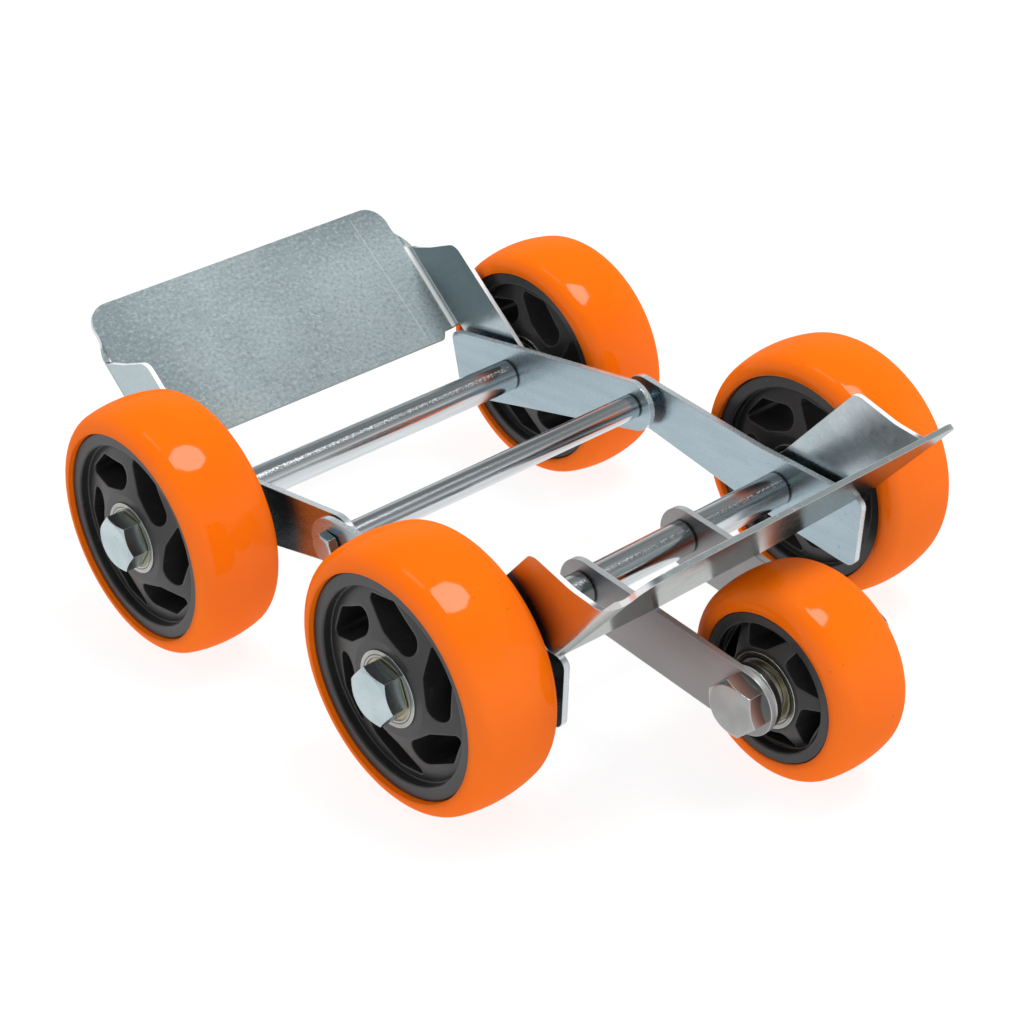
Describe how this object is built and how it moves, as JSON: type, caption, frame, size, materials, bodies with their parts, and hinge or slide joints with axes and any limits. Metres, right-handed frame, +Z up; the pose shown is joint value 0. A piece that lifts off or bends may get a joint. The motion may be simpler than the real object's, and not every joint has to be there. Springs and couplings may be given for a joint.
{
  "type": "tire dolly",
  "caption": "Low folding wheel dolly: two hinged sheet-steel cradle halves on solid-tire ball-bearing wheels, with a nose wheel on a short fork, to roll a motorcycle by one tire.",
  "frame": {"origin": "on the floor, at the middle of the object's length and width", "axes": "+Z up, +X along the axles from the bolt heads to the nuts, +Y from the nose wheel to the rear plate"},
  "size_m": [0.2515, 0.3534, 0.1057],
  "materials": {
    "sheet": "zinc-plated sheet, satin",
    "tube": "zinc-plated drawn tube, bright",
    "fastener": "bright zinc plating",
    "bearing_steel": "ground steel",
    "shield": "yellowish pressed sheet",
    "tire": "smooth orange polyurethane, satin",
    "hub": "moulded black nylon, satin"
  },
  "bodies": {
    "front_half": {"front_plate": "sheet", "front_bar_left": "sheet", "front_bar_right": "sheet", "fork_arm_left": "sheet", "fork_arm_right": "sheet", "front_tube_left": "tube", "front_tube_middle": "tube", "front_tube_right": "tube", "front_axle_bolt": "fastener", "front_axle_nut": "fastener", "front_axle_washers": "fastener", "front_inner_races": "bearing_steel", "front_sleeves": "fastener", "nose_axle_bolt": "fastener", "nose_axle_nut": "fastener", "nose_spacers": "fastener", "nose_washers": "fastener", "nose_inner_races": "bearing_steel", "nose_sleeves": "fastener", "hinge_bolt": "fastener", "hinge_nut": "fastener"},
    "rear_half": {"rear_plate": "sheet", "rear_bar_left": "sheet", "rear_bar_right": "sheet", "rear_tube": "tube", "hinge_tube": "tube", "rear_axle_bolt": "fastener", "rear_axle_nut": "fastener", "rear_axle_washers": "fastener", "rear_inner_races": "bearing_steel", "rear_sleeves": "fastener"},
    "rear_left_wheel": {"rear_left_tire": "tire", "rear_left_hub": "hub", "rear_left_outer_races": "bearing_steel", "rear_left_balls": "bearing_steel", "rear_left_shields": "shield"},
    "rear_right_wheel": {"rear_right_tire": "tire", "rear_right_hub": "hub", "rear_right_outer_races": "bearing_steel", "rear_right_balls": "bearing_steel", "rear_right_shields": "shield"},
    "front_left_wheel": {"front_left_tire": "tire", "front_left_hub": "hub", "front_left_outer_races": "bearing_steel", "front_left_balls": "bearing_steel", "front_left_shields": "shield"},
    "front_right_wheel": {"front_right_tire": "tire", "front_right_hub": "hub", "front_right_outer_races": "bearing_steel", "front_right_balls": "bearing_steel", "front_right_shields": "shield"},
    "nose_wheel": {"nose_tire": "tire", "nose_hub": "hub", "nose_outer_races": "bearing_steel", "nose_balls": "bearing_steel", "nose_shields": "shield"}
  },
  "joints": [
    {"name": "fold", "type": "hinge", "parent": "front_half", "child": "rear_half", "pos_m": [0, 0.01482, 0.0604], "axis": [1, 0, 0], "range_deg": [-75, 105]},
    {"name": "rear_left_roll", "type": "hinge", "parent": "rear_half", "child": "rear_left_wheel", "pos_m": [-0.099, 0.09112, 0.05], "axis": [1, 0, 0], "continuous": true},
    {"name": "rear_right_roll", "type": "hinge", "parent": "rear_half", "child": "rear_right_wheel", "pos_m": [0.099, 0.09112, 0.05], "axis": [1, 0, 0], "continuous": true},
    {"name": "front_left_roll", "type": "hinge", "parent": "front_half", "child": "front_left_wheel", "pos_m": [-0.099, -0.06148, 0.05], "axis": [1, 0, 0], "continuous": true},
    {"name": "front_right_roll", "type": "hinge", "parent": "front_half", "child": "front_right_wheel", "pos_m": [0.099, -0.06148, 0.05], "axis": [1, 0, 0], "continuous": true},
    {"name": "nose_roll", "type": "hinge", "parent": "front_half", "child": "nose_wheel", "pos_m": [-0.0015, -0.13918, 0.0375], "axis": [1, 0, 0], "continuous": true}
  ]
}
